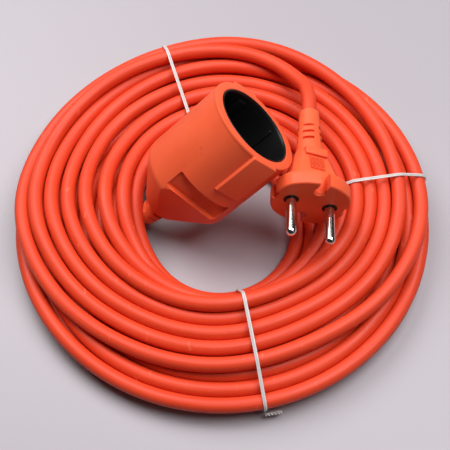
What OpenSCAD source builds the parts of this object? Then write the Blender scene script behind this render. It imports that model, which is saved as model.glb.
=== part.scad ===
// Two-core extension cord, wound in a round coil and held by three wire ties.
// Millimetres, +Z up. The origin is on the floor, at the centre of the coil.

/* [Cord] */
// Outer diameter of the round sheath
cord_d = 7; // [6.6:0.1:7.4]
// Outer diameter of one insulated core
core_d = 2.6; // [2.4:0.1:2.8]
// Diameter of the copper strands in a core
strand_d = 1.3; // [1.1:0.1:1.5]

/* [Coil] */
// Outer radius of the coil
coil_r_out = 100.5; // [99:0.5:104]
// Inner radius of the coil
coil_r_in = 39; // [38.5:0.5:41]
// Height of the coil
coil_h = 22; // [20:0.5:22]
// Rounding of the coil's section
coil_round = 9; // [7:0.5:9]

/* [Ties] */
// Thickness of a tie, from the cord outwards
tie_t = 1.6; // [1.4:0.1:2]
// Width of a tie, along the cord
tie_w = 2.2; // [1.8:0.1:2.6]
// Angle of the left tie round the coil
tie_left_angle = 108; // [100:1:116]
// Angle of the right tie
tie_right_angle = 10; // [2:1:18]
// Angle of the front tie
tie_front_angle = 281; // [273:1:289]

/* [Plug] */
// Diameter of a contact pin
pin_d = 4.8; // [4.7:0.05:4.9]
// Free length of a pin
pin_len = 19; // [18.5:0.5:19.5]
// Distance between the pin centres
pin_pitch = 19; // [18.8:0.1:19.2]
// Diameter of the round plug head
head_d = 36.4; // [36:0.1:37]
// Thickness of the plug head
head_t = 7.5; // [7:0.5:9]
// Distance from the face to the start of the strain relief
plug_neck = 28; // [27:0.5:29]
// Length of the whole plug moulding
plug_len = 52; // [50:0.5:53]
// Place of the plug's face, to the right
plug_x = 40; // [37:0.5:42]
// Place of the plug's face, to the back
plug_y = -12.4; // [-14:0.2:-10]
// Height of the centre of the plug's face
plug_z = 40.8; // [40.8:0.2:44]
// Pitch of the plug
plug_pitch = -3; // [-5:1:0]
// Heading of the plug
plug_heading = -2; // [-4:1:4]
// Roll of the plug about its own axis
plug_roll = -20.5; // [-26:0.5:-16]

/* [Socket] */
// Diameter of the socket body
socket_d = 48; // [47:0.5:49]
// Outer diameter of the black insert
insert_d = 40; // [39.8:0.1:41]
// Diameter of the recess that takes the plug
recess_d = 38; // [37.6:0.1:38.4]
// Depth of the recess
recess_h = 17.5; // [17:0.5:18]
// Thickness of the floor of the recess
floor_t = 3; // [2.5:0.5:3.5]
// Diameter of a pin hole in that floor
hole_d = 5.4; // [5.3:0.05:5.5]
// Distance from the mouth to the start of the taper
barrel_len = 42; // [41:0.5:43]
// Distance from the mouth to the start of the strain relief
taper_end = 64; // [63:0.5:65]
// Length of the whole socket moulding
socket_len = 75; // [74:0.5:75]
// Place of the socket's mouth, to the right
socket_x = 15; // [14:0.5:16]
// Place of the socket's mouth, to the back
socket_y = 16.4; // [15.4:0.2:17]
// Height of the centre of the socket's mouth
socket_z = 61.5; // [61.5:0.5:64]
// Tilt of the socket from upright
socket_tilt = 47.5; // [47:0.5:48]
// Heading of the socket
socket_heading = 19.2; // [18:0.2:20]
// Roll of the socket about its own axis
socket_roll = 76; // [70:1:86]

/* [Hidden] */
$fn = 64;

cord_r = cord_d / 2;
core_r = core_d / 2;
strand_r = strand_d / 2;
pin_r = pin_d / 2;
pin_x = pin_pitch / 2;
gap = 0.05;               // room between a moulding and what it holds
end_gap = 0.5;            // from a cord's cut end to its cores, which leave it at a slant
orange = [0.95, 0.28, 0.12];
black = [0.06, 0.06, 0.065];
nickel = [0.8, 0.8, 0.78];
brass = [0.83, 0.66, 0.3];
copper = [0.78, 0.42, 0.24];
brown = [0.35, 0.19, 0.1];
blue = [0.12, 0.32, 0.68];
white = [0.92, 0.92, 0.9];

// ---- plug: its own frame has the pins along +Z, on the X axis ----
collar_r = 3.5;           // raised ring of the bridge round each pin
bridge_t = 4.5;           // plate of the bridge
bridge_back = -6;
shank_r = 1.9;            // pin inside the bridge
shank_end = -9;
flange_r = 2.9;           // keeps the pin in the bridge
flange_t = 1.6;
jacket_in_plug = -36;     // the sheath is stripped from here on
core_x = 1.45;            // the two cores side by side in the sheath
relief_r = 6.2;           // strain relief at its thick end
relief_tip_r = 4.8;
slot_y = 10.4;            // centre of a slot's round end

module plug_place() {
    translate([plug_x, plug_y, plug_z]) rotate([90 + plug_pitch, 0, plug_heading]) rotate([0, 0, plug_roll])
        children();
}

// a round bar from a to b
module bar(a, b, r) {
    d = b - a;
    translate(a) rotate([0, acos(d[2] / norm(d)), atan2(d[1], d[0])]) cylinder(r = r, h = norm(d));
}

// room for a core, with a round end where its strands turn into the metal
module core_way(from, to) {
    bar(from, to, core_r + gap);
    translate(from) sphere(r = core_r + gap);
}

// the core runs from the back of its pin to where it leaves the sheath
function plug_core_from(side) = [side * pin_x, 0, shank_end - 0.6];
function plug_core_to(side) = [side * core_x, 0, jacket_in_plug];

module bridge_shape(extra) {
    translate([0, 0, bridge_back - extra]) linear_extrude(bridge_t + 2 * extra) union() {
        square([pin_pitch, 2 * (5 + extra)], center = true);
        for (s = [-1, 1]) translate([s * pin_x, 0]) circle(r = 5 + extra);
    }
    for (s = [-1, 1]) translate([s * pin_x, 0, bridge_back]) cylinder(r = collar_r + extra, h = -bridge_back);
}

module head_outline() {
    difference() {
        // round, slightly flatter above and below
        intersection() {
            circle(d = head_d, $fn = 96);
            translate([0, -5.4]) circle(r = head_d / 2 + 3.8, $fn = 96);
            translate([0, 5.4]) circle(r = head_d / 2 + 3.8, $fn = 96);
        }
        // a channel at each side, where a guide rib would run
        for (s = [-1, 1]) translate([s * head_d / 2, 0]) square([3.4, 5.2], center = true);
        // open slots above and below, between the pins
        for (s = [-1, 1]) {
            translate([-2.3, s > 0 ? slot_y : -slot_y - 10]) square([4.6, 10]);
            translate([0, s * slot_y]) circle(r = 2.3);
        }
    }
}

module plug_outer() {
    translate([0, 0, -head_t]) linear_extrude(head_t) head_outline();
    // tapering grip, flat above and below
    intersection() {
        translate([0, 0, -plug_neck]) cylinder(r1 = 6.9, r2 = 14.4, h = plug_neck - head_t + 1);
        translate([0, 0, -plug_neck]) rotate([90, 0, 90]) translate([0, 0, -20]) linear_extrude(40)
            polygon([[-5.6, 0], [5.6, 0], [9.6, plug_neck - head_t + 1], [-9.6, plug_neck - head_t + 1]]);
    }
    // cross bars at the thin end of the grip
    for (s = [-1, 1]) translate([-5.4, s * 6.4 - 1.6, -plug_neck + 1.5]) cube([10.8, 3.2, 4.5]);
    // strain relief
    translate([0, 0, -plug_len]) cylinder(r1 = relief_tip_r, r2 = relief_r, h = plug_len - plug_neck + 0.5);
}

module plug_body() color(orange) plug_place() difference() {
    plug_outer();
    bridge_shape(gap);
    translate([0, 0, -plug_len - 1]) cylinder(r = cord_r, h = plug_len + jacket_in_plug + 1);
    for (s = [-1, 1]) {
        translate([s * pin_x, 0, shank_end - 0.6]) cylinder(r = shank_r + gap, h = 4);
        core_way(plug_core_from(s), plug_core_to(s));
    }
    // three slots on each side of the strain relief
    for (k = [0:2]) translate([0, 0, -33.5 - 4 * k]) for (a = [0:90:270]) rotate([0, 0, a])
        translate([4.9, -3, -0.7]) cube([3, 6, 1.4]);
}

module plug_bridge() color(black) plug_place() difference() {
    bridge_shape(0);
    for (s = [-1, 1]) translate([s * pin_x, 0, 0]) {
        translate([0, 0, bridge_back - 1]) cylinder(r = shank_r + gap, h = 8);
        translate([0, 0, bridge_back - 1]) cylinder(r = flange_r + gap, h = 1 + flange_t + gap);
    }
}

module plug_pin(side) color(nickel) plug_place() translate([side * pin_x, 0, 0]) difference() {
    rotate_extrude() union() {
        square([pin_r, pin_len - pin_r]);
        translate([0, pin_len - pin_r]) intersection() {
            circle(r = pin_r);
            square(pin_r);
        }
        translate([0, shank_end]) square([shank_r, -shank_end]);
        translate([0, bridge_back]) square([flange_r, flange_t]);
    }
    translate([0, 0, shank_end - 1]) cylinder(r = strand_r + gap, h = 7);
}
module plug_pin_left() plug_pin(-1);
module plug_pin_right() plug_pin(1);

module plug_core(side) plug_place() difference() {
    bar(plug_core_from(side), plug_core_to(side), core_r);
    bar(plug_core_from(side) * 1.1 - plug_core_to(side) * 0.1,
        plug_core_to(side) * 1.1 - plug_core_from(side) * 0.1, strand_r + gap);
}
module plug_core_brown() color(brown) plug_core(1);
module plug_core_blue() color(blue) plug_core(-1);

module plug_strands(side) color(copper) plug_place() union() {
    bar(plug_core_from(side), plug_core_to(side), strand_r);
    translate(plug_core_from(side)) sphere(r = strand_r + gap / 2);
    translate(plug_core_from(side)) cylinder(r = strand_r, h = 6);
}
module plug_strands_brown() plug_strands(1);
module plug_strands_blue() plug_strands(-1);

module cord_end_in_plug() color(orange) plug_place()
    translate([0, 0, -plug_len]) cylinder(r = cord_r - gap, h = plug_len + jacket_in_plug - end_gap);

// ---- socket: its own frame has the mouth at the origin, opening along +Z, pins on the X axis ----
socket_r = socket_d / 2;
floor_top = -recess_h;
floor_low = -recess_h - floor_t;
hub_r = 15;               // carrier behind the insert, and its cover
contact_r = 3.4;          // spring sleeve, outside
contact_bore_r = 2.45;    // and inside, round the pin
contact_len = 16;
contact_end = floor_low - contact_len;
tail_end = contact_end - 2.5;
hub_end = contact_end - 0.5;
cover_t = 2.5;
cover_end = hub_end - cover_t;
jacket_in_socket = -52;
socket_tip_r = 4.7;
panel_x = 18;             // name panel: distance from the axis, and rear edge
panel_low = -41;
panel_turn = -16;         // the panels are turned from the grips

module socket_place() {
    translate([socket_x, socket_y, socket_z]) rotate([0, socket_tilt, socket_heading]) rotate([0, 0, socket_roll])
        children();
}
function socket_core_from(side) = [side * pin_x, 0, tail_end - core_d / 3];
function socket_core_to(side) = [side * core_x, 0, jacket_in_socket];

module socket_outer() {
    intersection() {
        translate([0, 0, -taper_end]) cylinder(r = socket_r, h = taper_end, $fn = 128);
        // round taper at the back
        union() {
            translate([0, 0, -barrel_len]) cylinder(r = socket_r + 1, h = barrel_len + 1);
            translate([0, 0, -taper_end]) cylinder(r1 = 9.5, r2 = 27, h = taper_end - barrel_len + 1);
        }
        // and flat on two sides behind the name panels
        rotate([0, 0, panel_turn]) rotate([90, 0, 0]) translate([0, 0, -30]) linear_extrude(60)
            polygon([[-9, -taper_end - 1], [9, -taper_end - 1], [21, panel_low], [30, panel_low + 4], [30, 1],
                     [-30, 1], [-30, panel_low + 4], [-21, panel_low]]);
    }
    // raised grips, left and right
    for (s = [-1, 1]) intersection() {
        translate([s < 0 ? -25 : 20, -7, -27]) cube([5, 14, 27]);
        translate([0, 0, -27]) cylinder(r = socket_r + 2, h = 27, $fn = 128);
    }
    translate([0, 0, -socket_len]) cylinder(r1 = socket_tip_r, r2 = 6.4, h = socket_len - taper_end + 0.5);
}

module socket_body() color(orange) socket_place() difference() {
    socket_outer();
    translate([0, 0, floor_low - gap]) cylinder(d = insert_d + 2 * gap, h = 30);
    translate([0, 0, cover_end - gap]) cylinder(r = hub_r + gap, h = 20);
    translate([0, 0, -socket_len - 1]) cylinder(r = cord_r, h = socket_len + jacket_in_socket + 1);
    // flat name panels, left blank
    rotate([0, 0, panel_turn]) for (s = [-1, 1])
        translate([s < 0 ? -30 : panel_x, -14.5, panel_low]) cube([30 - panel_x, 29, 10]);
    for (s = [-1, 1]) core_way(socket_core_from(s), socket_core_to(s));
    // two rows of slots in the strain relief
    for (k = [0:1]) translate([0, 0, -67.5 - 4 * k]) for (a = [0:90:270]) rotate([0, 0, a])
        translate([4.9, -3, -0.7]) cube([3, 6, 1.4]);
}

module socket_insert() color(black) socket_place() {
    difference() {
        translate([0, 0, floor_low]) cylinder(d = insert_d, h = -floor_low);
        translate([0, 0, floor_low - 1]) cylinder(d = recess_d, h = 2 - floor_low);
    }
    // guide ribs beside the pin holes
    for (s = [-1, 1]) translate([s > 0 ? recess_d / 2 - 1.4 : -recess_d / 2 - 0.2, -2.2, floor_top + gap])
        cube([1.6, 4.4, recess_h - 3]);
}

// the floor of the recess
module socket_face() color(black) socket_place() difference() {
    translate([0, 0, floor_low]) cylinder(d = recess_d - 2 * gap, h = floor_t);
    for (s = [-1, 1]) translate([s * pin_x, 0, floor_low - 1]) cylinder(d = hole_d, h = floor_t + 2);
}

// behind the insert, with a chamber for each contact
module socket_carrier() color(black) socket_place() difference() {
    translate([0, 0, hub_end]) cylinder(r = hub_r, h = floor_low - hub_end - gap);
    for (s = [-1, 1]) translate([s * pin_x, 0, hub_end - 1])
        cylinder(r = contact_r + gap, h = floor_low - hub_end + 2);
}

module socket_back_cover() color(black) socket_place() difference() {
    translate([0, 0, cover_end]) cylinder(r = hub_r, h = cover_t - gap);
    for (s = [-1, 1]) translate([s * pin_x, 0, cover_end - 1]) cylinder(r = 2.2, h = cover_t + 2);
}

// spring sleeve, slit along one side, with a crimped tail
module socket_contact(side) color(brass) socket_place() translate([side * pin_x, 0, 0]) union() {
    difference() {
        translate([0, 0, contact_end]) cylinder(r = contact_r, h = contact_len - 0.2);
        translate([0, 0, contact_end + 1]) cylinder(r = contact_bore_r, h = contact_len);
        translate([-side * 4 - 2, -0.6, contact_end + 3]) cube([4, 1.2, contact_len]);
    }
    difference() {
        translate([0, 0, tail_end]) cylinder(r = 2, h = 2.6);
        translate([0, 0, tail_end - 1]) cylinder(r = strand_r + gap, h = 3);
    }
}
module socket_contact_left() socket_contact(-1);
module socket_contact_right() socket_contact(1);

module socket_core(side) socket_place() difference() {
    bar(socket_core_from(side), socket_core_to(side), core_r);
    bar(socket_core_from(side) * 1.1 - socket_core_to(side) * 0.1,
        socket_core_to(side) * 1.1 - socket_core_from(side) * 0.1, strand_r + gap);
}
module socket_core_brown() color(brown) socket_core(1);
module socket_core_blue() color(blue) socket_core(-1);

module socket_strands(side) color(copper) socket_place() union() {
    bar(socket_core_from(side), socket_core_to(side), strand_r);
    translate(socket_core_from(side)) sphere(r = strand_r + gap / 2);
    translate(socket_core_from(side)) cylinder(r = strand_r, h = 2.6);
}
module socket_strands_brown() socket_strands(1);
module socket_strands_blue() socket_strands(-1);

module cord_end_in_socket() color(orange) socket_place()
    translate([0, 0, -socket_len]) cylinder(r = cord_r - gap, h = socket_len + jacket_in_socket - core_d / 2);

// ---- cord: two free leads and the coil ----
lead_sides = 10;
plug_back = [-sin(plug_heading) * cos(plug_pitch), cos(plug_heading) * cos(plug_pitch), sin(plug_pitch)];
plug_exit = [plug_x, plug_y, plug_z] + plug_len * plug_back;
// from the plug up over the turns, and left along the back of the coil
plug_route = [plug_exit, plug_exit + 9 * plug_back, [41.2, 57.5, 35], [38.6, 64.5, 31.5], [33.7, 73.5, 28],
              [26.5, 82, 24], [19, 87.5, 19.5]];
socket_back = [-sin(socket_tilt) * cos(socket_heading), -sin(socket_tilt) * sin(socket_heading),
               -cos(socket_tilt)];
socket_exit = [socket_x, socket_y, socket_z] + socket_len * socket_back;
lead_way = [-cos(socket_heading), -sin(socket_heading), 0];
// down to the floor and straight on under the inner turns: distance gone, and height
socket_drop = [[4.9, 7.6], [11.4, 4.8], [15, 3.9], [18, 3.9]];
socket_route = concat([socket_exit, socket_exit + 1.5 * socket_back],
    [for (p = socket_drop) [socket_exit[0], socket_exit[1], p[1]] + p[0] * lead_way]);

function way(path, i) =
    let (d = path[min(i + 1, len(path) - 1)] - path[max(i - 1, 0)]) d / norm(d);
function ring(path, i, r) =
    let (t = way(path, i), side = cross(t, [0, 0, 1]), u = side / norm(side), v = cross(u, t))
    [for (k = [0:lead_sides - 1]) path[i] + r * (cos(360 * k / lead_sides) * u + sin(360 * k / lead_sides) * v)];

module tube(path, r) {
    n = lead_sides;
    last = len(path) - 1;
    polyhedron(
        points = [for (i = [0:last]) each ring(path, i, r)],
        faces = concat(
            [[for (k = [0:n - 1]) k]],
            [[for (k = [n - 1:-1:0]) last * n + k]],
            [for (i = [0:last - 1]) for (k = [0:n - 1])
                [i * n + k, (i + 1) * n + k, (i + 1) * n + (k + 1) % n, i * n + (k + 1) % n]]));
}

// ends flush on the flat top of the coil
module cord_plug_lead() color(orange) difference() {
    tube(plug_route, cord_r);
    translate([-50, 0, coil_h - 12]) cube([150, 120, 12]);
}

module cord_socket_lead() color(orange) tube(socket_route, cord_r);

// section of the coil, drawn in from its outline by inset
module coil_section(inset) {
    r = coil_round - inset;
    x0 = coil_r_in + inset;
    x1 = coil_r_out - inset;
    y1 = coil_h - inset;
    translate([x0 + r, inset]) square([x1 - x0 - 2 * r, y1 - inset]);
    translate([x0, inset + r]) square([x1 - x0, y1 - inset - 2 * r]);
    for (x = [x0 + r, x1 - r], y = [inset + r, y1 - r]) translate([x, y]) circle(r = r);
}

groove_t = tie_t + 0.1;
groove_half = asin((tie_w / 2 + 0.2) / coil_r_in);
tie_marks = [tie_right_angle, tie_left_angle, tie_front_angle, tie_right_angle + 360];
lead_tunnel = 18;         // how far the socket's lead runs under the inner turns

module cord_coil() color(orange) difference() {
    union() {
        rotate_extrude($fn = 180) coil_section(groove_t);
        // full section between the ties, so each tie lies in a groove
        for (k = [0:2]) rotate([0, 0, tie_marks[k] + groove_half])
            rotate_extrude(angle = tie_marks[k + 1] - tie_marks[k] - 2 * groove_half, $fn = 180)
                coil_section(0);
    }
    // room for the socket's strain relief and lead
    translate([socket_exit[0], socket_exit[1], -1]) rotate([0, 0, socket_heading + 180]) {
        translate([-20, -7, 0]) cube([26, 14, 19]);
        translate([0, -cord_r - 0.6, 0]) cube([lead_tunnel, cord_d + 1.2, 13]);
    }
}

// a closed wire tie round the bundle, with its twisted end lying along the coil
tail_r = 0.95;
tail_len = 9;
tail_z = 6;
module tie(angle) color(white) rotate([0, 0, angle]) {
    rotate([90, 0, 0]) translate([0, 0, -tie_w / 2]) linear_extrude(tie_w) difference() {
        coil_section(0);
        coil_section(tie_t);
    }
    translate([coil_r_out + 0.6, 0, tail_z]) sphere(r = 1.6);
    translate([coil_r_out + tail_r + 0.2, 0, tail_z]) rotate([-90, 0, 0]) cylinder(r = tail_r, h = tail_len);
}
module tie_left() tie(tie_left_angle);
module tie_right() tie(tie_right_angle);
module tie_front() tie(tie_front_angle);

plug_body();
plug_bridge();
plug_pin_left();
plug_pin_right();
plug_core_brown();
plug_core_blue();
plug_strands_brown();
plug_strands_blue();
cord_end_in_plug();
socket_body();
socket_insert();
socket_face();
socket_carrier();
socket_back_cover();
socket_contact_left();
socket_contact_right();
socket_core_brown();
socket_core_blue();
socket_strands_brown();
socket_strands_blue();
cord_end_in_socket();
cord_plug_lead();
cord_socket_lead();
cord_coil();
tie_left();
tie_right();
tie_front();
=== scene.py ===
import math

import bmesh
import bpy
import numpy as np
from mathutils import Matrix, Vector


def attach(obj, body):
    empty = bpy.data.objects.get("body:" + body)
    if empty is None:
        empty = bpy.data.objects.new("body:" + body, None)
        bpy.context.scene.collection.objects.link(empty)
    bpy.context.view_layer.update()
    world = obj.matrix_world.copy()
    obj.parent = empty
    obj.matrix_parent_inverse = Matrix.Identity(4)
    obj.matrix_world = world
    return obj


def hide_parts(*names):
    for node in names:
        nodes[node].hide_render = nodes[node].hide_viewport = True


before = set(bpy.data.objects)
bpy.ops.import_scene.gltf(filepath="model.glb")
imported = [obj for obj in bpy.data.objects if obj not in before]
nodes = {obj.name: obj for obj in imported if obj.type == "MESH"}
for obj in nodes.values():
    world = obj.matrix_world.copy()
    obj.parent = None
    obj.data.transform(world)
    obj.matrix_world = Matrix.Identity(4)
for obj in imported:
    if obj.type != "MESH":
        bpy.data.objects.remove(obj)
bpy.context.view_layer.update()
scene = bpy.context.scene
scene.view_settings.view_transform = "Standard"
mm = 0.001
print("frame loaded:", len(nodes), "nodes")

camera = {
    "place": (0.0014, -0.2309, 0.4154),
    "target": (0.0014, -0.0006, 0.0),
    "lens": 76.8,
}


def aim(obj, place, target):
    obj.location = place
    way = Vector(target) - Vector(place)
    obj.rotation_euler = way.to_track_quat("-Z", "Y").to_euler()


def makeCamera(c):
    data = bpy.data.cameras.new("camera")
    data.lens = c["lens"]
    data.sensor_width = 36.0
    data.clip_start = 0.01
    obj = bpy.data.objects.new("camera", data)
    scene.collection.objects.link(obj)
    aim(obj, c["place"], c["target"])
    scene.camera = obj


makeCamera(camera)
print("camera set")

lamps = [
    # name, place, size, power, colour
    ("keyLamp", (-0.42, 0.47, 0.84), 0.75, 9.3, (1.0, 0.985, 0.985)),
    ("topLamp", (0.36, 0.12, 1.10), 0.95, 13.6, (1.0, 0.985, 1.0)),
    ("fillLamp", (0.75, -0.55, 0.65), 0.6, 0.3, (1.0, 0.98, 0.98)),
]


def makeLamps():
    for name, place, size, power, colour in lamps:
        data = bpy.data.lights.new(name, "AREA")
        data.shape = "DISK"
        data.size = size
        data.energy = power
        data.color = colour
        obj = bpy.data.objects.new(name, data)
        scene.collection.objects.link(obj)
        aim(obj, place, (0, 0, 0))


studio = {
    "airColour": (0.86, 0.84, 0.88),
    "airLight": 0.03,
    "tableColour": (0.390, 0.364, 0.390),
    "tableRoughness": 0.45,
    "tableSize": 3.0,         # from its middle to an edge
}


def makeWorld(c):
    world = bpy.data.worlds.new("studio")
    scene.world = world
    world.use_nodes = True
    shader = world.node_tree.nodes["Background"]
    shader.inputs["Color"].default_value = (*c["airColour"], 1)
    shader.inputs["Strength"].default_value = c["airLight"]


def makeFloor(c):
    bm = bmesh.new()
    bmesh.ops.create_grid(bm, x_segments=1, y_segments=1, size=c["tableSize"])
    mesh = bpy.data.meshes.new("floor")
    bm.to_mesh(mesh)
    bm.free()
    obj = bpy.data.objects.new("floor", mesh)
    scene.collection.objects.link(obj)
    mat = bpy.data.materials.new("paleTable")
    mat.use_nodes = True
    shader = mat.node_tree.nodes["Principled BSDF"]
    shader.inputs["Base Color"].default_value = (*c["tableColour"], 1)
    shader.inputs["Roughness"].default_value = c["tableRoughness"]
    mesh.materials.append(mat)


makeLamps()
makeWorld(studio)
makeFloor(studio)
print("studio made:", len(lamps), "lamps, a world and a table")

cord = {
    "diameter": 0.007,
    "length": 10.0,
    "spacing": 0.0035,        # between two points of its line
    "outer": 0.097,           # radius of the outermost turns
    "stations": (0, 90, 145, 210, 270),   # degrees round from the back, to the left
    # the top turns, from the plug inwards: at each station the radius in mm, and the height in layers
    "topTurns": [
        ((93.5, 90, 74, 70.2, 84.5), (2.7, 2.3, 2.2, 2.2, 2.3)),
        ((97, 96, 83, 78.7, 97), (2.0, 2.2, 2.2, 2.2, 1.9)),
        ((90, 83, 67.5, 62.7, 78), (1.2, 1.7, 2.1, 2.1, 1.4)),
        ((86.5, 75, 59.5, 55.5, 74), (2.0, 2.2, 2.2, 2.2, 2.2)),
        ((79, 65.3, 55, 51.5, 66.5), (2.1, 2.1, 1.8, 1.7, 2.1)),
        ((69, 57, 51, 52, 61), (2.1, 2.1, 1.2, 0.8, 1.9)),
        ((60.5, 49.5, 51, 55, 58), (2.0, 1.9, 0.5, 0.0, 1.2)),
        ((55, 43, 47.5, 50.5, 54), (1.5, 1.2, 0.0, 0.0, 0.2)),
    ],
    # the turns below go back outwards, in turn on the floor and one layer up
    "lowerTurns": 15,
    "innerRadii": (54, 50, 55, 59, 60),
    "endsAt": 66,             # degrees into the last turn, where the end to the socket begins
    "stepAngle": 3.0,         # degrees between two points of the winding
    "cornerWidth": 13,        # points over which its corners are rounded
    "layerHeight": 0.92,      # in diameters, as a turn sinks a little between two others
    "innermost": 0.045,
    "riseAt": 97,             # degrees round from the back
    "riseWidth": 0.028,
    "rise": (0.8, 1.1),       # how far the top turns and the hidden turns rise there, in layers
    "wander": 0.0018,
    "coarse": 0.010,          # between the points that the whole line is smoothed through
    "bevelSteps": 5,
}

# how the plug and the socket stand: tilted, then turned about Z, and rolled about their own axis
plugStand = {"place": (0.040, -0.0124, 0.0408), "turn": -2, "tilt": 87, "tiltAxis": "X", "roll": -20.5}
socketStand = {"place": (0.015, 0.0164, 0.0615), "turn": 19.2, "tilt": 47.5, "tiltAxis": "Y", "roll": 76}
plugLength = 0.052
socketLength = 0.075


def standing(c):
    # place, turn and whole matrix of a piece that is modelled upright with its face at zero
    place = Vector(c["place"])
    turn = (Matrix.Rotation(math.radians(c["turn"]), 3, "Z")
            @ Matrix.Rotation(math.radians(c["tilt"]), 3, c["tiltAxis"]))
    roll = Matrix.Rotation(math.radians(c["roll"]), 3, "Z")
    return place, turn, Matrix.Translation(place) @ (turn @ roll).to_4x4()


plugPlace, plugTurn, plugFrame = standing(plugStand)
plugBack = plugTurn @ Vector((0, 0, -1))
plugExit = plugPlace + plugLength * plugBack
# straight out of the plug, over the turns and left along the back of the coil
plugRoute = [plugExit, plugExit + 0.009 * plugBack, (0.0412, 0.0575, 0.0350), (0.0386, 0.0645, 0.0315),
             (0.0337, 0.0735, 0.0280), (0.0262, 0.0820, 0.0250), (0.0164, 0.0883, 0.0232),
             (0.0040, 0.0922, 0.0225)]

socketPlace, socketTurn, socketFrame = standing(socketStand)
socketBack = socketTurn @ Vector((0, 0, -1))
socketExit = socketPlace + socketLength * socketBack
# from the outermost turn on the floor, round under the others and up to the socket
socketRoute = [(-0.0937, 0.0291, 0.0035), (-0.0939, 0.0216, 0.0035), (-0.0924, 0.0143, 0.0035),
               (-0.0893, 0.0075, 0.0035), (-0.0847, 0.0016, 0.0035), (-0.0790, -0.0032, 0.0035),
               (-0.0723, -0.0065, 0.0035), (-0.0650, -0.0083, 0.0035), (-0.0576, -0.0083, 0.00355),
               (-0.0508, -0.0068, 0.0045), (-0.0465, -0.0051, 0.0060), (-0.0418, -0.0034, 0.0084),
               socketExit + 0.0015 * socketBack, socketExit]


def smoothThrough(points, steps):
    # a smooth line through given points
    p = np.array([list(q) for q in points], float)
    p = np.vstack([2 * p[0] - p[1], p, 2 * p[-1] - p[-2]])
    out = []
    for i in range(1, len(p) - 2):
        for t in np.linspace(0, 1, steps, endpoint=False):
            first = (p[i + 1] - p[i - 1]) * t
            second = (2 * p[i - 1] - 5 * p[i] + 4 * p[i + 1] - p[i + 2]) * t ** 2
            third = (3 * p[i] - p[i - 1] - 3 * p[i + 1] + p[i + 2]) * t ** 3
            out.append(0.5 * (2 * p[i] + first + second + third))
    out.append(p[-2])
    return np.array(out)


def evenly(points, spacing):
    # the same line with evenly spread points
    steps = np.linalg.norm(np.diff(points[:, :3], axis=0), axis=1)
    along = np.concatenate([[0], np.cumsum(steps)])
    count = int(round(along[-1] / spacing))
    at = np.linspace(0, along[-1], count + 1)
    return np.stack([np.interp(at, along, points[:, k]) for k in range(points.shape[1])], 1)


def rounded(values, width):
    # a running mean with soft ends, which rounds the corners of a line
    window = np.hanning(width + 2)[1:-1]
    padded = np.concatenate([[values[0]] * (width // 2), values, [values[-1]] * (width // 2)])
    return np.convolve(padded, window / window.sum(), "valid")


def windCoil(c):
    # the wound turns, each point with its place and whether it is one of the top turns
    radii, layers, holds = [], [], []
    for r, h in c["topTurns"]:
        radii += [x / 1000 for x in r]
        layers += h
        holds += [1] * len(r)
    for k in range(c["lowerTurns"]):
        share = k / (c["lowerTurns"] - 1)
        radii += [x / 1000 + (c["outer"] - x / 1000) * share for x in c["innerRadii"]]
        layers += [k % 2] * len(c["stations"])
        holds += [0] * len(c["stations"])
    turns = len(c["topTurns"]) + c["lowerTurns"]
    at = [360 * turn + station for turn in range(turns) for station in c["stations"]]
    fine = np.arange(0, 360 * (turns - 1) + c["endsAt"], c["stepAngle"])
    r, layer, hold = [rounded(np.interp(fine, at, v), c["cornerWidth"]) for v in (radii, layers, holds)]
    # the turns rise where the end to the socket runs under them, but for the outermost ones
    here = np.radians(fine % 360 - c["riseAt"]) * r / c["riseWidth"]
    topRise, hiddenRise = c["rise"]
    rise = np.where(r < c["outer"] - 0.004, hiddenRise, 0)
    layer += np.exp(-here ** 2) * np.where(hold > 0.5, topRise, rise)
    # the hidden turns wander a little, as wound by hand
    far = np.radians(fine)
    wander = np.sin(0.61 * far) + 0.8 * np.sin(1.37 * far + 2) + 0.5 * np.sin(2.23 * far + 1)
    r += c["wander"] * wander * (1 - hold) * np.clip((fine[-1] - fine) / 300, 0, 1)
    r = np.clip(r, c["innermost"], c["outer"])
    angle = np.radians(90 + fine)
    d = c["diameter"]
    return np.stack([r * np.cos(angle), r * np.sin(angle), d / 2 + layer * c["layerHeight"] * d, hold], 1)


def layCord(c):
    # the whole line from the plug to the socket; its two ends are held like the top turns
    coil = windCoil(c)
    ends = []
    for route in (plugRoute, socketRoute):
        end = smoothThrough(route, 12)
        ends.append(np.hstack([end, np.ones((len(end), 1))]))
    line = evenly(np.vstack([ends[0], coil[3:], ends[1]]), c["coarse"])
    return evenly(smoothThrough(line, 6), c["spacing"])


def nearPairs(p, reach, skip):
    # every two points nearer than reach, looked up in a grid of cells
    cell = np.floor(p / reach).astype(int)
    cell -= cell.min(0)
    size = cell.max(0) + 3
    key = ((cell[:, 0] + 1) * size[1] + cell[:, 1] + 1) * size[2] + cell[:, 2] + 1
    order = np.argsort(key, kind="stable")
    sortedKey = key[order]
    found = []
    for dx in (-1, 0, 1):
        for dy in (-1, 0, 1):
            for dz in (-1, 0, 1):
                look = key + (dx * size[1] + dy) * size[2] + dz
                first = np.searchsorted(sortedKey, look, "left")
                last = np.searchsorted(sortedKey, look, "right")
                for m in range(int((last - first).max())):
                    i = np.nonzero(first + m < last)[0]
                    j = order[first[i] + m]
                    keep = j > i + skip
                    found.append(np.stack([i[keep], j[keep]], 1))
    pairs = np.concatenate(found)
    gap = np.linalg.norm(p[pairs[:, 0]] - p[pairs[:, 1]], axis=1)
    return pairs[gap < reach]


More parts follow.
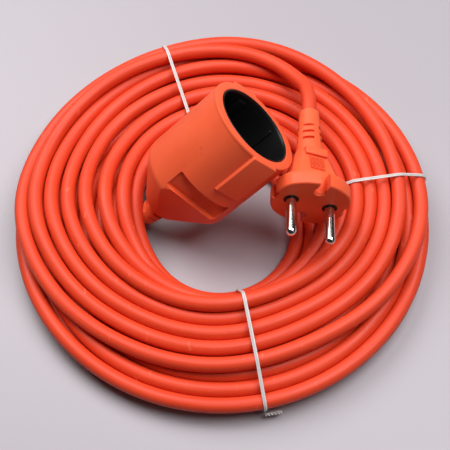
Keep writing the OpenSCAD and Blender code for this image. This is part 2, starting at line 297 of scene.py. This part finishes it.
def pushOut(p, place, turn, profile, reach):
    # keeps points clear of a body that is round about its own axis
    local = (p - np.array(place)) @ np.array(turn)
    around = np.hypot(local[:, 0], local[:, 1])
    profile = np.array(profile)
    limit = np.interp(local[:, 2], profile[:, 0], profile[:, 1], left=-1, right=-1)
    inside = (limit > 0) & (around < limit + reach)
    grow = np.ones(len(p))
    grow[inside] = (limit[inside] + reach) / np.maximum(around[inside], 1e-6)
    local[:, 0] *= grow
    local[:, 1] *= grow
    return np.where(inside[:, None], local @ np.array(turn).T + np.array(place), p)


settle = {
    "rounds": 900,
    "weight": 0.00004,        # how far a turn sinks in a round
    "hold": 0.02,             # how firmly the top turns keep to where they were wound
    "loosen": 0.7,            # the share of that hold that is gone at the end
    "calm": 0.92,             # the share of the rounds after which nothing pulls any more
    "stiffness": ((1, 0.3), (3, 0.25), (7, 0.15)),   # points between, and share
    "push": 1.4,              # over 1, as a turn between several is moved by their mean
    "pushes": 3,              # in each round
    "lookAgain": 6,           # rounds between two searches for turns that touch
    "lookReach": 1.35,        # how far such a search looks, in diameters
    "neighbours": 5,          # points along the cord that it leaves out
    "fixedStart": 7,          # points that stay in the plug
    "fixedEnd": 8,            # points that stay in the socket
    "besideEnd": 26,          # points that may lie in the outline of the piece they end in
    "clear": 0.0003,          # left between the cord and the plug or the socket
    "smoothings": 20,
    "socketProfile": [(-0.075, 0.0048), (-0.064, 0.0068), (-0.0635, 0.0095), (-0.042, 0.024),
                      (0.0, 0.024)],
    "plugProfile": [(-0.052, 0.0050), (-0.028, 0.0064), (-0.0275, 0.0075), (-0.0080, 0.0130),
                    (-0.0075, 0.0182), (0.0, 0.0182)],
}


def settleCord(line, c, s):
    # lets the wound line sink under its weight until its turns rest on each other and on the floor
    d = c["diameter"]
    p = line[:, :3].copy()
    plan = p.copy()
    hold = line[:, 3] * s["hold"]
    n = len(p)
    first, last = s["fixedStart"], s["fixedEnd"]
    free = np.ones((n, 1))
    free[:first] = 0
    free[-last:] = 0
    index = np.arange(n)
    byPlug = index < s["besideEnd"]
    bySocket = index > n - s["besideEnd"]
    still = free[:, 0] == 0
    rounds = s["rounds"]
    for k in range(rounds):
        late = k / rounds
        if k % s["lookAgain"] == 0:
            pairs = nearPairs(p, d * s["lookReach"], s["neighbours"])
        # weight, and the pull back to where it was wound
        if late < s["calm"]:
            p[:, 2:] -= s["weight"] * free
            pull = (hold * (1 - s["loosen"] * late))[:, None]
            p[:, :2] += pull * (plan[:, :2] - p[:, :2]) * free
        # stiffness: whatever moves a turn off its winding is spread over short and longer stretches
        u = p - plan
        for stride, share in s["stiffness"]:
            mid = (u[:-2 * stride] + u[2 * stride:]) / 2 - u[stride:-stride]
            bend = mid[stride:-stride] - (mid[:-2 * stride] + mid[2 * stride:]) / 2
            u[2 * stride:-2 * stride] += share * bend * free[2 * stride:-2 * stride]
        p = plan + u
        # points stay evenly spread along the cord
        way = p[2:] - p[:-2]
        way /= np.linalg.norm(way, axis=1)[:, None]
        off = (p[2:] + p[:-2]) / 2 - p[1:-1]
        p[1:-1] += 0.5 * (off * way).sum(1)[:, None] * way * free[1:-1]
        # turns that touch push each other apart
        for again in range(s["pushes"]):
            i, j = pairs[:, 0], pairs[:, 1]
            apart = p[j] - p[i]
            gap = np.linalg.norm(apart, axis=1)
            near = gap < d
            i, j, apart, gap = i[near], j[near], apart[near], gap[near]
            push = apart * ((d - gap) / np.maximum(gap, 1e-6) * 0.5)[:, None]
            move = [np.bincount(j, push[:, a], n) - np.bincount(i, push[:, a], n) for a in range(3)]
            touched = np.bincount(i, minlength=n) + np.bincount(j, minlength=n)
            p += np.stack(move, 1) / np.maximum(touched, 1)[:, None] * s["push"] * free
        # clear of the socket, the plug, the outer edge and the floor
        q = pushOut(p, socketPlace, socketTurn, s["socketProfile"], d / 2 + s["clear"])
        p = np.where((bySocket | still)[:, None], p, q)
        q = pushOut(p, plugPlace, plugTurn, s["plugProfile"], d / 2 + s["clear"])
        p = np.where((byPlug | still)[:, None], p, q)
        r = np.hypot(p[:, 0], p[:, 1])
        p[:, :2] *= np.where((r > c["outer"]) & ~still, c["outer"] / r, 1.0)[:, None]
        p[:, 2] = np.where(still, p[:, 2], np.maximum(p[:, 2], d / 2))
    # the last small kinks taken out
    for again in range(s["smoothings"]):
        sides = p[first - 1:-last - 1] + p[first + 1:-last + 1]
        p[first:-last] = 0.5 * p[first:-last] + 0.25 * sides
    gap = np.linalg.norm(p[pairs[:, 0]] - p[pairs[:, 1]], axis=1)
    length = np.linalg.norm(np.diff(p, axis=0), axis=1).sum()
    print("cord settled: length", round(float(length), 3), "m, nearest turns",
          round(float(gap.min()) / mm, 2), "mm apart, top", round(float(p[:, 2].max()) / mm, 1), "mm")
    return p


def makeCord(c, line):
    curve = bpy.data.curves.new("cord", "CURVE")
    curve.dimensions = "3D"
    curve.bevel_depth = 1.0   # times each point's radius
    curve.bevel_resolution = c["bevelSteps"]
    curve.use_fill_caps = True
    curve.twist_mode = "MINIMUM"
    spline = curve.splines.new("POLY")
    spline.points.add(len(line) - 1)
    flat = np.hstack([line, np.ones((len(line), 1))])
    spline.points.foreach_set("co", flat.ravel())
    spline.points.foreach_set("radius", [c["diameter"] / 2] * len(line))
    spline.use_smooth = True
    obj = bpy.data.objects.new("cord", curve)
    scene.collection.objects.link(obj)
    return obj


cordLine = settleCord(layCord(cord), cord, settle)
cordPiece = makeCord(cord, cordLine)
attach(cordPiece, "root")
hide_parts("cord_coil", "cord_plug_lead", "cord_socket_lead")
print("piece made: cord", len(cordLine), "points")


def smoothShape(mesh, degrees=32):
    for face in mesh.polygons:
        face.use_smooth = True
    mesh.set_sharp_from_angle(angle=math.radians(degrees))


def newPiece(name, bm):
    mesh = bpy.data.meshes.new(name)
    bm.to_mesh(mesh)
    bm.free()
    obj = bpy.data.objects.new(name, mesh)
    scene.collection.objects.link(obj)
    return obj


def lathe(profile, steps=96):
    # a closed solid turned about Z from radius and height in mm
    bm = bmesh.new()
    verts = [bm.verts.new((r * mm, 0, z * mm)) for r, z in profile]
    edges = [bm.edges.new(pair) for pair in zip(verts, verts[1:])]
    bmesh.ops.spin(bm, geom=verts + edges, cent=(0, 0, 0), axis=(0, 0, 1), dvec=(0, 0, 0),
                   angle=2 * math.pi, steps=steps, use_merge=True)
    bmesh.ops.remove_doubles(bm, verts=bm.verts, dist=1e-6)
    bmesh.ops.recalc_face_normals(bm, faces=bm.faces)
    return bm


def block(low, high, rounding=0.4, steps=3):
    # a box with rounded edges, from its two corners in mm
    bm = bmesh.new()
    bmesh.ops.create_cube(bm, size=1)
    low, high = Vector(low) * mm, Vector(high) * mm
    bmesh.ops.scale(bm, vec=high - low, verts=bm.verts)
    bmesh.ops.translate(bm, vec=(low + high) / 2, verts=bm.verts)
    if rounding:
        bmesh.ops.bevel(bm, geom=bm.edges[:], offset=rounding * mm, segments=steps, profile=0.5,
                        affect="EDGES", material=-1, clamp_overlap=True)
    return bm


def turnAboutZ(bm, degrees):
    turn = Matrix.Rotation(math.radians(degrees), 3, "Z")
    bmesh.ops.rotate(bm, cent=(0, 0, 0), matrix=turn, verts=bm.verts)
    return bm


def combine(body, bm, how):
    # joins a shape to a piece, or takes it away
    tool = newPiece("tool", bm)
    change = body.modifiers.new("combine", "BOOLEAN")
    change.operation = how
    change.solver = "EXACT"
    change.object = tool
    graph = bpy.context.evaluated_depsgraph_get()
    made = bpy.data.meshes.new_from_object(body.evaluated_get(graph))
    body.modifiers.clear()
    old, toolMesh = body.data, tool.data
    body.data = made
    bpy.data.objects.remove(tool)
    bpy.data.meshes.remove(old)
    bpy.data.meshes.remove(toolMesh)


def cutFlat(bm, point, normal, rounding):
    # a flat cut, closed and with a rounded edge
    cut = bmesh.ops.bisect_plane(bm, geom=bm.verts[:] + bm.edges[:] + bm.faces[:], dist=1e-7,
                                 plane_co=Vector(point) * mm, plane_no=normal, clear_outer=True)
    rim = [e for e in cut["geom_cut"] if isinstance(e, bmesh.types.BMEdge)]
    bmesh.ops.contextual_create(bm, geom=rim)
    bmesh.ops.bevel(bm, geom=rim, offset=rounding * mm, segments=3, profile=0.5,
                    affect="EDGES", material=-1, clamp_overlap=True)


def finishPiece(obj, turn, degrees=32, replaced=()):
    # cleans a piece's mesh, moves it to its place, hangs it on the root body and hides the parts it
    # replaces
    bm = bmesh.new()
    bm.from_mesh(obj.data)
    bmesh.ops.remove_doubles(bm, verts=bm.verts, dist=2e-6)
    bmesh.ops.dissolve_degenerate(bm, edges=bm.edges, dist=1e-6)
    bmesh.ops.transform(bm, matrix=turn, verts=bm.verts)
    bm.to_mesh(obj.data)
    bm.free()
    smoothShape(obj.data, degrees)
    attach(obj, "root")
    if replaced:
        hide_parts(*replaced)
    print("piece made:", obj.name, len(obj.data.polygons), "faces")


socket = {
    "barrel": [(0, -64), (9.0, -64), (9.6, -63.4), (23.1, -46.0), (23.7, -44.9), (24.0, -43.4),
               (24.0, -2.0), (24.05, -1.5), (24.2, -1.2), (24.2, -0.6), (24.05, -0.2), (23.6, 0), (0, 0)],
    "facet": (21, -41),       # radius and height of a point on each of the two flats at the taper
    "relief": [(0, -75), (4.3, -75), (4.7, -74.6), (5.6, -69.5), (6.5, -64.3), (7.6, -62.8), (7.6, -58),
               (0, -58)],
    "cavity": [(0, -42), (15.05, -42), (15.05, -20.6), (20.05, -20.6), (20.05, -0.35), (20.4, 0.05),
               (20.4, 1), (0, 1)],
    "gripWidth": 14,
    "gripLength": 27,
    "panelTurn": -16,
    "panelTop": -31,
    "panel": (29, 10),        # width and height of the blank name panel
    "slotRows": (-66.8, -70.4),
    "slot": (2.6, 0.7),       # half width and half height of a slot in the strain relief
}


def makeSocketBody(c):
    bm = lathe(c["barrel"], 128)
    turn = Matrix.Rotation(math.radians(c["panelTurn"]), 3, "Z")
    reach, height = c["facet"]
    for side in (1, -1):
        cutFlat(bm, turn @ Vector((reach * side, 0, height)), turn @ Vector((0.894 * side, 0, -0.447)), 1.0)
    body = newPiece("socketBody", bm)
    combine(body, lathe(c["relief"], 64), "UNION")
    w = c["gripWidth"] / 2
    top = c["panelTop"]
    pw, ph = c["panel"][0] / 2, c["panel"][1]
    for side in (1, -1):
        half = 0 if side > 0 else 180
        # a raised grip with a slanted end, flush with the rim
        grip = block((19, -w, -c["gripLength"]), (25, w, 0), 0.5)
        for v in grip.verts:
            if v.co.z < -0.02:
                v.co.z += (v.co.x - 0.019) * 0.5
        combine(body, turnAboutZ(grip, half), "UNION")
        # the blank name panel, sunk in the barrel, with a slightly raised plate
        pocket = block((18, -pw, top - ph), (30, pw, top), 0.5)
        combine(body, turnAboutZ(pocket, c["panelTurn"] + half), "DIFFERENCE")
        plate = block((16, -pw + 1.4, top - ph + 1.2), (18.35, pw - 1.4, top - 1.2), 0.25)
        combine(body, turnAboutZ(plate, c["panelTurn"] + half), "UNION")
        # a notch in the rim beside the grip
        notch = block((22.7, 7.5, -2.4), (27, 9.0, 1), 0.3)
        combine(body, turnAboutZ(notch, half), "DIFFERENCE")
    combine(body, lathe(c["cavity"], 128), "DIFFERENCE")
    wide, high = c["slot"]
    for z in c["slotRows"]:
        for quarter in range(4):
            slot = block((4.6, -wide, z - high), (9, wide, z + high), 0.35, 2)
            combine(body, turnAboutZ(slot, 90 * quarter), "DIFFERENCE")
    finishPiece(body, socketFrame, replaced=["socket_body"])
    return body


insert = {
    "wall": [(18.95, -20.4), (18.95, -1.5), (19.1, -0.6), (19.4, -0.1), (19.75, 0.05), (20.0, -0.2),
             (20.0, -20.4), (18.95, -20.4)],
    # half width and depth of the two guide ribs and of the small ribs between, and their angles
    "guideRib": (2.2, 1.4, (0, 180)),
    "smallRib": (0.7, 0.9, (62, 118, 242, 298)),
    "ribEnds": (-17.4, -3.4),
}


def makeInsert(c):
    piece = newPiece("socketLining", lathe(c["wall"], 128))
    low, high = c["ribEnds"]
    for half, deep, angles in (c["guideRib"], c["smallRib"]):
        for angle in angles:
            rib = block((19.3 - deep, -half, low), (19.6, half, high), 0.3)
            combine(piece, turnAboutZ(rib, angle), "UNION")
    finishPiece(piece, socketFrame, replaced=["socket_insert"])
    return piece


plug = {
    "head": [(0, -7.5), (17.0, -7.5), (17.7, -7.2), (18.1, -6.5), (18.2, -5.8), (18.2, -0.9), (18.0, -0.35),
             (17.5, 0), (0, 0)],
    "flatter": 5.4,           # how far the upper and lower outline circles are moved
    "neck": [(0, -28.2), (6.2, -28.2), (6.9, -27.6), (14.3, -6.8), (14.3, -5.5), (0, -5.5)],
    "relief": [(0, -52), (4.3, -52), (4.8, -51.5), (5.3, -43), (6.1, -32), (6.3, -28), (6.3, -24),
               (0, -24)],
    "slotRows": (-33.5, -37.3, -41.1),
    "slot": (2.8, 0.8),       # half width and half height of a slot in the strain relief
    "slotTurn": 30,           # the relief's slots stand turned from the head
    "openSlot": (10.4, 2.25),   # where its round end lies, and its half width
    "flare": [(0, -9), (2.3, -9), (2.3, -1.1), (3.0, -0.2), (3.1, 1), (0, 1)],
    "pins": 9.5,              # half the distance between the pins
    "collarSeat": [(0, -6), (3.55, -6), (3.55, 1), (0, 1)],
    "ridges": 9,
    "ridgeStep": 0.84,
    "ridgeSize": (7.2, 0.36, 0.5),
}
neckLean = math.atan(4 / 21.5)   # of the neck's two flats, outwards towards the head


def makeGripRidges(c, side):
    # a field of fine zig-zag ridges, which lies on the flat of the neck
    bm = bmesh.new()
    long, wide, thick = c["ridgeSize"]
    bends = 12
    for k in range(c["ridges"]):
        ridge = bmesh.ops.create_grid(bm, x_segments=bends, y_segments=1, size=0.5)["verts"]
        bmesh.ops.scale(bm, vec=(long * mm, wide * mm, 1), verts=ridge)
        for v in ridge:
            step = round((v.co.x / mm + long / 2) / (long / bends))
            v.co.y += (0.2 if step % 2 else -0.2) * mm
        bmesh.ops.translate(bm, vec=(0, c["ridgeStep"] * k * mm, 0), verts=ridge)
    bmesh.ops.solidify(bm, geom=bm.faces[:], thickness=thick * mm)
    bmesh.ops.recalc_face_normals(bm, faces=bm.faces)
    # stood up against the flat
    stand = Matrix.Rotation(math.pi / 2 - neckLean, 3, "X")
    bmesh.ops.rotate(bm, cent=(0, 0, 0), matrix=stand, verts=bm.verts)
    bmesh.ops.translate(bm, vec=(0, 7.14 * mm, -20.6 * mm), verts=bm.verts)
    if side < 0:
        turnAboutZ(bm, 180)
    return bm


def makePlugBody(c):
    body = newPiece("plugBody", lathe(c["head"], 128))
    larger = [(r + 3.8 if r > 0 else 0, z) for r, z in c["head"]]
    for side in (1, -1):
        shape = lathe(larger, 128)
        bmesh.ops.translate(shape, vec=(0, side * c["flatter"] * mm, 0), verts=shape.verts)
        combine(body, shape, "INTERSECT")
    neck = lathe(c["neck"], 96)
    for side in (1, -1):
        cutFlat(neck, (0, 5.6 * side, -28), (0, side * math.cos(neckLean), -math.sin(neckLean)), 0.7)
    combine(body, neck, "UNION")
    combine(body, lathe(c["relief"], 64), "UNION")
    slotEnd, slotHalf = c["openSlot"]
    for side in (1, -1):
        # cross bar at the thin end of the neck
        low, high = sorted((4.6 * side, 8.1 * side))
        combine(body, block((-5.4, low, -26.4), (5.4, high, -22.2), 0.5), "UNION")
        # open slot with a flared round end
        low, high = sorted((slotEnd * side, 22 * side))
        combine(body, block((-slotHalf, low, -9), (slotHalf, high, 1), 0), "DIFFERENCE")
        hole = lathe(c["flare"], 48)
        bmesh.ops.translate(hole, vec=(0, side * slotEnd * mm, 0), verts=hole.verts)
        combine(body, hole, "DIFFERENCE")
        # a channel at the side
        low, high = sorted((16.2 * side, 22 * side))
        combine(body, block((low, -2.6, -9), (high, 2.6, 1), 0.4), "DIFFERENCE")
        # room for the collar of a pin
        seat = lathe(c["collarSeat"], 48)
        bmesh.ops.translate(seat, vec=(side * c["pins"] * mm, 0, 0), verts=seat.verts)
        combine(body, seat, "DIFFERENCE")
    wide, high = c["slot"]
    for z in c["slotRows"]:
        for quarter in range(4):
            slot = block((4.1, -wide, z - high), (9, wide, z + high), 0.4, 2)
            combine(body, turnAboutZ(slot, 90 * quarter + c["slotTurn"]), "DIFFERENCE")
    finishPiece(body, plugFrame, replaced=["plug_body"])
    pieces = [body]
    for side, name in ((1, "plugRidgesUpper"), (-1, "plugRidgesLower")):
        ridges = newPiece(name, makeGripRidges(c, side))
        finishPiece(ridges, plugFrame)
        pieces.append(ridges)
    return pieces


socketShell = makeSocketBody(socket)
lining = makeInsert(insert)
plugPieces = makePlugBody(plug)

ties = {
    # degrees round from the right, and whether the twisted ends show there
    "tieLeft": {"stands": "tie_left", "angle": 108, "twisted": False},
    "tieRight": {"stands": "tie_right", "angle": 9, "twisted": True},
    "tieFront": {"stands": "tie_front", "angle": 281, "twisted": True},
}
tieShape = {
    "width": 1.5,
    "thick": 0.6,
    "core": 0.3,              # how far the wire in the middle stands up
    "coreWidth": 0.28,
    "reach": 4.0,             # how far to each side it feels the turns under it
    "floorGap": 1.1,
    "spacing": 1.2,           # between two points of its outline
    "twist": 7.5,             # length of the twisted ends
    "twistTurns": 2.5,
    "strand": 0.5,            # radius of one twisted end
}


def hullOf(points):
    # the outline round a set of flat points
    points = sorted(set(points))
    sides = []
    for way in (points, points[::-1]):
        line = []
        for p in way:
            while len(line) > 1 and ((line[-1][0] - line[-2][0]) * (p[1] - line[-2][1])
                                     - (line[-1][1] - line[-2][1]) * (p[0] - line[-2][0])) <= 0:
                line.pop()
            line.append(p)
        sides += line[:-1]
    return sides


def makeTie(name, c, shape, line):
    # a flat wire tie, pulled tight round whatever turns it crosses
    angle = math.radians(c["angle"])
    out = np.array([math.cos(angle), math.sin(angle)])
    along = np.array([-math.sin(angle), math.cos(angle)])
    reach = line[:, :2] @ out
    near = (np.abs(line[:, :2] @ along) < shape["reach"] * mm) & (reach > 0.03)
    around = []
    rim = cord["diameter"] / 2 + 0.0001
    for r, z in zip(reach[near], line[near, 2]):
        for a in np.linspace(0, 2 * np.pi, 24, endpoint=False):
            up = max(z + rim * math.sin(a), shape["floorGap"] * mm)
            around.append((round(r + rim * math.cos(a), 6), round(up, 6)))
    hull = hullOf(around)
    outline = evenly(np.array([*hull, hull[0]]), shape["spacing"] * mm)[:-1]
    bm = bmesh.new()
    ring = [bm.verts.new((x, -shape["width"] / 2 * mm, z)) for x, z in outline]
    edges = [bm.edges.new((ring[i - 1], ring[i])) for i in range(len(ring))]
    band = bmesh.ops.extrude_edge_only(bm, edges=edges)
    moved = [v for v in band["geom"] if isinstance(v, bmesh.types.BMVert)]
    bmesh.ops.translate(bm, vec=(0, shape["width"] * mm, 0), verts=moved)
    across = [e for e in bm.edges if abs(e.verts[0].co.y - e.verts[1].co.y) > 1e-6]
    bmesh.ops.subdivide_edges(bm, edges=across, cuts=5, use_grid_fill=True)
    bmesh.ops.recalc_face_normals(bm, faces=bm.faces)
    bm.normal_update()
    # the wire in the middle stands up a little
    middle = Vector((reach[near].mean(), 0, 0.01))
    for v in bm.verts:
        rise = shape["core"] * math.exp(-(v.co.y / (shape["coreWidth"] * mm)) ** 2)
        away = v.normal if v.normal.dot(v.co - Vector((middle.x, v.co.y, middle.z))) > 0 else -v.normal
        v.co += away * rise * mm
    inner = bm.faces[0]
    if inner.normal.dot(inner.calc_center_median() - middle) < 0:
        bmesh.ops.reverse_faces(bm, faces=bm.faces)
    bmesh.ops.solidify(bm, geom=bm.faces[:], thickness=-shape["thick"] * mm)
    bmesh.ops.recalc_face_normals(bm, faces=bm.faces)
    piece = newPiece(name, bm)
    if c["twisted"]:
        addTwist(piece, shape, max(x for x, z in outline))
    finishPiece(piece, Matrix.Rotation(angle, 4, "Z"), replaced=[c["stands"]])
    return piece


def addTwist(piece, shape, edge):
    # the two ends twisted together, lying along the coil
    bm = bmesh.new()
    bm.from_mesh(piece.data)
    steps = 60
    turn = Matrix.Rotation(math.radians(-90), 4, "X")
    for side in (1, -1):
        strand = bmesh.new()
        bmesh.ops.create_circle(strand, cap_ends=True, radius=shape["strand"] * mm, segments=10)
        bmesh.ops.translate(strand, vec=(0.9 * shape["strand"] * mm * side, 0, 0), verts=strand.verts)
        bmesh.ops.spin(strand, geom=strand.faces[:], cent=(0, 0, 0), axis=(0, 0, 1), steps=steps,
                       angle=2 * math.pi * shape["twistTurns"], dvec=(0, 0, shape["twist"] * mm / steps),
                       use_duplicate=False)
        bmesh.ops.transform(strand, matrix=turn, verts=strand.verts)
        bmesh.ops.translate(strand, vec=(edge + 0.0007, 0, 0.0045), verts=strand.verts)
        mesh = bpy.data.meshes.new("strand")
        strand.to_mesh(mesh)
        strand.free()
        bm.from_mesh(mesh)
        bpy.data.meshes.remove(mesh)
    bmesh.ops.recalc_face_normals(bm, faces=bm.faces)
    bm.to_mesh(piece.data)
    bm.free()


tiePieces = [makeTie(name, tie, tieShape, cordLine) for name, tie in ties.items()]


def newSocket(group, name, way, kind):
    return group.interface.new_socket(name=name, in_out=way, socket_type=kind)


def addNode(tree, kind, **values):
    node = tree.nodes.new(kind)
    for key, value in values.items():
        setattr(node, key, value)
    return node


def noiseNode(tree, place, scale, detail, rough=0.55):
    node = addNode(tree, "ShaderNodeTexNoise")
    node.inputs["Scale"].default_value = scale
    node.inputs["Detail"].default_value = detail
    node.inputs["Roughness"].default_value = rough
    tree.links.new(place, node.inputs["Vector"])
    return node


def rangeNode(tree, value, low, high, toLow=0.0, toHigh=1.0):
    node = addNode(tree, "ShaderNodeMapRange", interpolation_type="SMOOTHSTEP")
    node.inputs["From Min"].default_value = low
    node.inputs["From Max"].default_value = high
    node.inputs["To Min"].default_value = toLow
    node.inputs["To Max"].default_value = toHigh
    tree.links.new(value, node.inputs["Value"])
    return node.outputs["Result"]


def mixValues(tree, first, second, share):
    mix = addNode(tree, "ShaderNodeMix", data_type="FLOAT")
    mix.inputs["Factor"].default_value = share
    tree.links.new(first, mix.inputs["A"])
    tree.links.new(second, mix.inputs["B"])
    return mix.outputs["Result"]


def makeGrainGroup():
    # moulding grain, broad unevenness and a few scuffs, all from one place input
    group = bpy.data.node_groups.new("surfaceGrain", "ShaderNodeTree")
    newSocket(group, "Place", "INPUT", "NodeSocketVector")
    newSocket(group, "Grain Size", "INPUT", "NodeSocketFloat")
    newSocket(group, "Broad", "OUTPUT", "NodeSocketFloat")
    newSocket(group, "Grain", "OUTPUT", "NodeSocketFloat")
    newSocket(group, "Scuffs", "OUTPUT", "NodeSocketFloat")
    start = addNode(group, "NodeGroupInput")
    end = addNode(group, "NodeGroupOutput")
    broad = noiseNode(group, start.outputs["Place"], 38, 3)
    group.links.new(rangeNode(group, broad.outputs["Fac"], 0.3, 0.7), end.inputs["Broad"])
    grain = noiseNode(group, start.outputs["Place"], 1200, 2)
    group.links.new(start.outputs["Grain Size"], grain.inputs["Scale"])
    group.links.new(grain.outputs["Fac"], end.inputs["Grain"])
    # thin short scuffs, drawn out one way
    stretch = addNode(group, "ShaderNodeMapping")
    stretch.inputs["Scale"].default_value = (1.0, 0.22, 0.6)
    stretch.inputs["Rotation"].default_value = (0.4, 0.7, 0.5)
    group.links.new(start.outputs["Place"], stretch.inputs["Vector"])
    scuff = noiseNode(group, stretch.outputs["Vector"], 650, 2, 0.4)
    patch = noiseNode(group, start.outputs["Place"], 70, 2)
    both = addNode(group, "ShaderNodeMath", operation="MULTIPLY")
    group.links.new(rangeNode(group, scuff.outputs["Fac"], 0.66, 0.74), both.inputs[0])
    group.links.new(rangeNode(group, patch.outputs["Fac"], 0.5, 0.62), both.inputs[1])
    group.links.new(both.outputs[0], end.inputs["Scuffs"])
    return group


def makeDrawnGroup():
    # the long faint lines that a drawn sheath keeps, from its own UV map
    group = bpy.data.node_groups.new("drawnLines", "ShaderNodeTree")
    newSocket(group, "Place", "INPUT", "NodeSocketVector")
    newSocket(group, "Lines", "OUTPUT", "NodeSocketFloat")
    newSocket(group, "Bands", "OUTPUT", "NodeSocketFloat")
    start = addNode(group, "NodeGroupInput")
    end = addNode(group, "NodeGroupOutput")
    for name, size in (("Lines", (260, 34, 1)), ("Bands", (150, 5, 1))):
        stretch = addNode(group, "ShaderNodeMapping")
        stretch.inputs["Scale"].default_value = size
        group.links.new(start.outputs["Place"], stretch.inputs["Vector"])
        noise = noiseNode(group, stretch.outputs["Vector"], 1.0, 2)
        group.links.new(rangeNode(group, noise.outputs["Fac"], 0.3, 0.7), end.inputs[name])
    return group


surfaceGrain = makeGrainGroup()
drawnLines = makeDrawnGroup()

finishes = {
    # colour, a second shade and the colour of scuffs, then roughness from and to, bump and grain size;
    # "drawn" gives the long faint lines of a sheath
    "orangeSheath": {
        "colour": (0.77, 0.06, 0.016), "second": (0.67, 0.045, 0.01), "scuff": (0.9, 0.16, 0.075),
        "roughness": (0.46, 0.6), "bump": 0.1, "grain": 1500, "specular": 0.4, "drawn": True,
    },
    "orangeMoulding": {
        "colour": (0.88, 0.122, 0.042), "second": (0.82, 0.102, 0.032), "scuff": (0.55, 0.05, 0.02),
        "roughness": (0.44, 0.56), "bump": 0.16, "grain": 2600, "specular": 0.28,
    },
    "blackPlastic": {
        "colour": (0.0065, 0.0065, 0.007), "second": (0.004, 0.004, 0.0045), "scuff": (0.03, 0.03, 0.03),
        "roughness": (0.3, 0.42), "bump": 0.08, "grain": 2200, "specular": 0.2,
    },
    "nickelPlate": {
        "colour": (0.74, 0.69, 0.64), "second": (0.66, 0.61, 0.56), "scuff": (0.45, 0.42, 0.4),
        "roughness": (0.1, 0.2), "bump": 0.03, "grain": 1800, "metallic": 1.0,
    },
    "contactBrass": {
        "colour": (0.72, 0.5, 0.2), "second": (0.62, 0.42, 0.16), "scuff": (0.4, 0.28, 0.12),
        "roughness": (0.22, 0.34), "bump": 0.04, "grain": 1800, "metallic": 1.0,
    },
    "copperStrands": {
        "colour": (0.72, 0.33, 0.18), "second": (0.6, 0.25, 0.12), "scuff": (0.4, 0.18, 0.1),
        "roughness": (0.25, 0.38), "bump": 0.1, "grain": 2400, "metallic": 1.0,
    },
    "brownCore": {
        "colour": (0.13, 0.045, 0.018), "second": (0.1, 0.034, 0.014), "scuff": (0.2, 0.09, 0.05),
        "roughness": (0.35, 0.5), "bump": 0.06, "grain": 1500,
    },
    "blueCore": {
        "colour": (0.02, 0.1, 0.42), "second": (0.015, 0.08, 0.34), "scuff": (0.08, 0.2, 0.5),
        "roughness": (0.35, 0.5), "bump": 0.06, "grain": 1500,
    },
    "whiteTie": {
        "colour": (0.64, 0.62, 0.6), "second": (0.56, 0.54, 0.52), "scuff": (0.55, 0.5, 0.46),
        "roughness": (0.24, 0.4), "bump": 0.08, "grain": 900, "coat": 0.2,
    },
}


def makeFinish(name, f):
    mat = bpy.data.materials.new(name)
    mat.use_nodes = True
    tree = mat.node_tree
    shader = tree.nodes["Principled BSDF"]
    shader.inputs["Metallic"].default_value = f.get("metallic", 0.0)
    shader.inputs["Specular IOR Level"].default_value = f.get("specular", 0.5)
    shader.inputs["Coat Weight"].default_value = f.get("coat", 0.0)
    where = addNode(tree, "ShaderNodeTexCoord")
    grain = addNode(tree, "ShaderNodeGroup", node_tree=surfaceGrain)
    grain.inputs["Grain Size"].default_value = f["grain"]
    tree.links.new(where.outputs["Object"], grain.inputs["Place"])
    shade, height = grain.outputs["Broad"], grain.outputs["Grain"]
    if f.get("drawn"):
        lines = addNode(tree, "ShaderNodeGroup", node_tree=drawnLines)
        tree.links.new(where.outputs["UV"], lines.inputs["Place"])
        shade = mixValues(tree, shade, lines.outputs["Bands"], 0.6)
        height = mixValues(tree, height, lines.outputs["Lines"], 0.75)
    colour = addNode(tree, "ShaderNodeMix", data_type="RGBA")
    colour.inputs["A"].default_value = (*f["colour"], 1)
    colour.inputs["B"].default_value = (*f["second"], 1)
    tree.links.new(shade, colour.inputs["Factor"])
    worn = addNode(tree, "ShaderNodeMix", data_type="RGBA")
    worn.inputs["B"].default_value = (*f["scuff"], 1)
    tree.links.new(rangeNode(tree, grain.outputs["Scuffs"], 0, 1, 0, 0.5), worn.inputs["Factor"])
    tree.links.new(colour.outputs["Result"], worn.inputs["A"])
    tree.links.new(worn.outputs["Result"], shader.inputs["Base Color"])
    low, high = f["roughness"]
    tree.links.new(rangeNode(tree, height, 0.2, 0.8, low, high), shader.inputs["Roughness"])
    bump = addNode(tree, "ShaderNodeBump")
    bump.inputs["Strength"].default_value = f["bump"]
    bump.inputs["Distance"].default_value = 0.0003
    tree.links.new(height, bump.inputs["Height"])
    tree.links.new(bump.outputs["Normal"], shader.inputs["Normal"])
    return mat


finish = {name: makeFinish(name, f) for name, f in finishes.items()}


def paint(obj, name):
    obj.data.materials.clear()
    obj.data.materials.append(finish[name])


paint(cordPiece, "orangeSheath")
for piece in [socketShell, *plugPieces]:
    paint(piece, "orangeMoulding")
paint(lining, "blackPlastic")
for piece in tiePieces:
    paint(piece, "whiteTie")

nodeFinish = [
    # what a node's name holds, and its finish
    ("pin", "nickelPlate"),
    ("contact", "contactBrass"),
    ("strands", "copperStrands"),
    ("core_brown", "brownCore"),
    ("core_blue", "blueCore"),
    ("tie", "whiteTie"),
    ("bridge", "blackPlastic"),
    ("insert", "blackPlastic"),
    ("face", "blackPlastic"),
    ("carrier", "blackPlastic"),
    ("cover", "blackPlastic"),
    ("cord", "orangeSheath"),
    ("body", "orangeMoulding"),
]
for name, node in nodes.items():
    paint(node, next(f for word, f in nodeFinish if word in name))
print("finishes set on", len(nodes), "nodes and the pieces made here")
